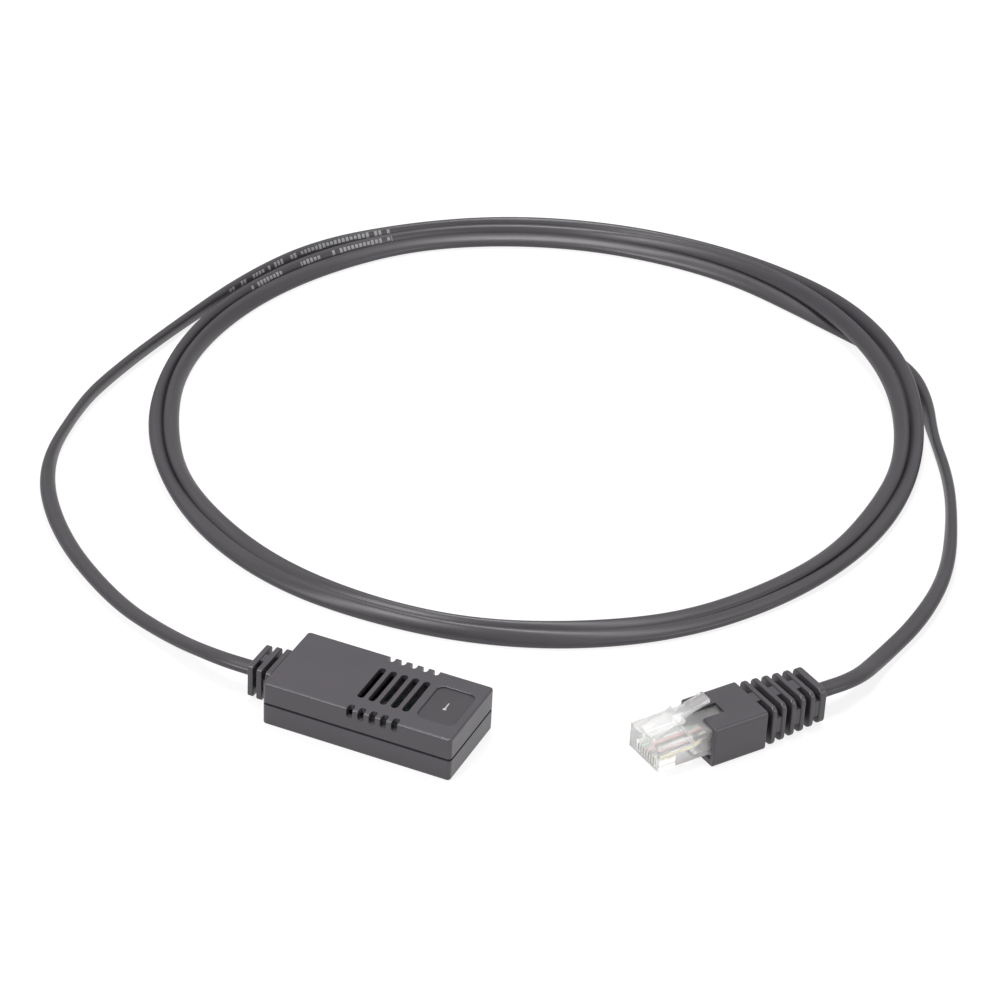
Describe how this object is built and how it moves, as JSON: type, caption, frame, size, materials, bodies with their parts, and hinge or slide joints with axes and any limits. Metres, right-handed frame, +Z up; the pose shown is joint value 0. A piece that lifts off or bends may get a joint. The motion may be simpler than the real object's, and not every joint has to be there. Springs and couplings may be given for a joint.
{
  "type": "rack temperature sensor",
  "caption": "Small vented sensor housing with louvres, edge notches and a sunk pad, on a flat coiled lead that ends in a booted clear modular plug.",
  "frame": {"origin": "on the floor, under the middle of the sensor housing", "axes": "+X along the housing, away from the lead; +Y across it, towards the coil; +Z up"},
  "size_m": [0.236, 0.2594, 0.0159],
  "materials": {
    "housing": "fine textured",
    "moulded_ends": "satin",
    "jacket": "satin",
    "clear_plastic": "polished",
    "contacts": "plated",
    "board": "solder mask",
    "chip": "moulded",
    "solder": "tinned",
    "ceramic": "fired",
    "core_yellow": "smooth",
    "core_black": "smooth",
    "core_red": "smooth",
    "core_green": "smooth"
  },
  "bodies": {
    "root": {"bottom_shell": "housing", "top_shell": "housing", "circuit_board": "board", "sensor_chip": "chip", "chip_legs": "solder", "bypass_capacitor": "ceramic", "chip_resistors": "chip", "sensor_core_yellow": "core_yellow", "sensor_core_black": "core_black", "sensor_core_red": "core_red", "sensor_core_green": "core_green", "strain_relief": "moulded_ends", "sensor_lead": "jacket", "cable_coil": "jacket", "plug_lead": "jacket", "plug_boot": "moulded_ends", "plug_body": "clear_plastic", "plug_contacts": "contacts", "plug_core_yellow": "core_yellow", "plug_core_black": "core_black", "plug_core_red": "core_red", "plug_core_green": "core_green"}
  },
  "joints": []
}
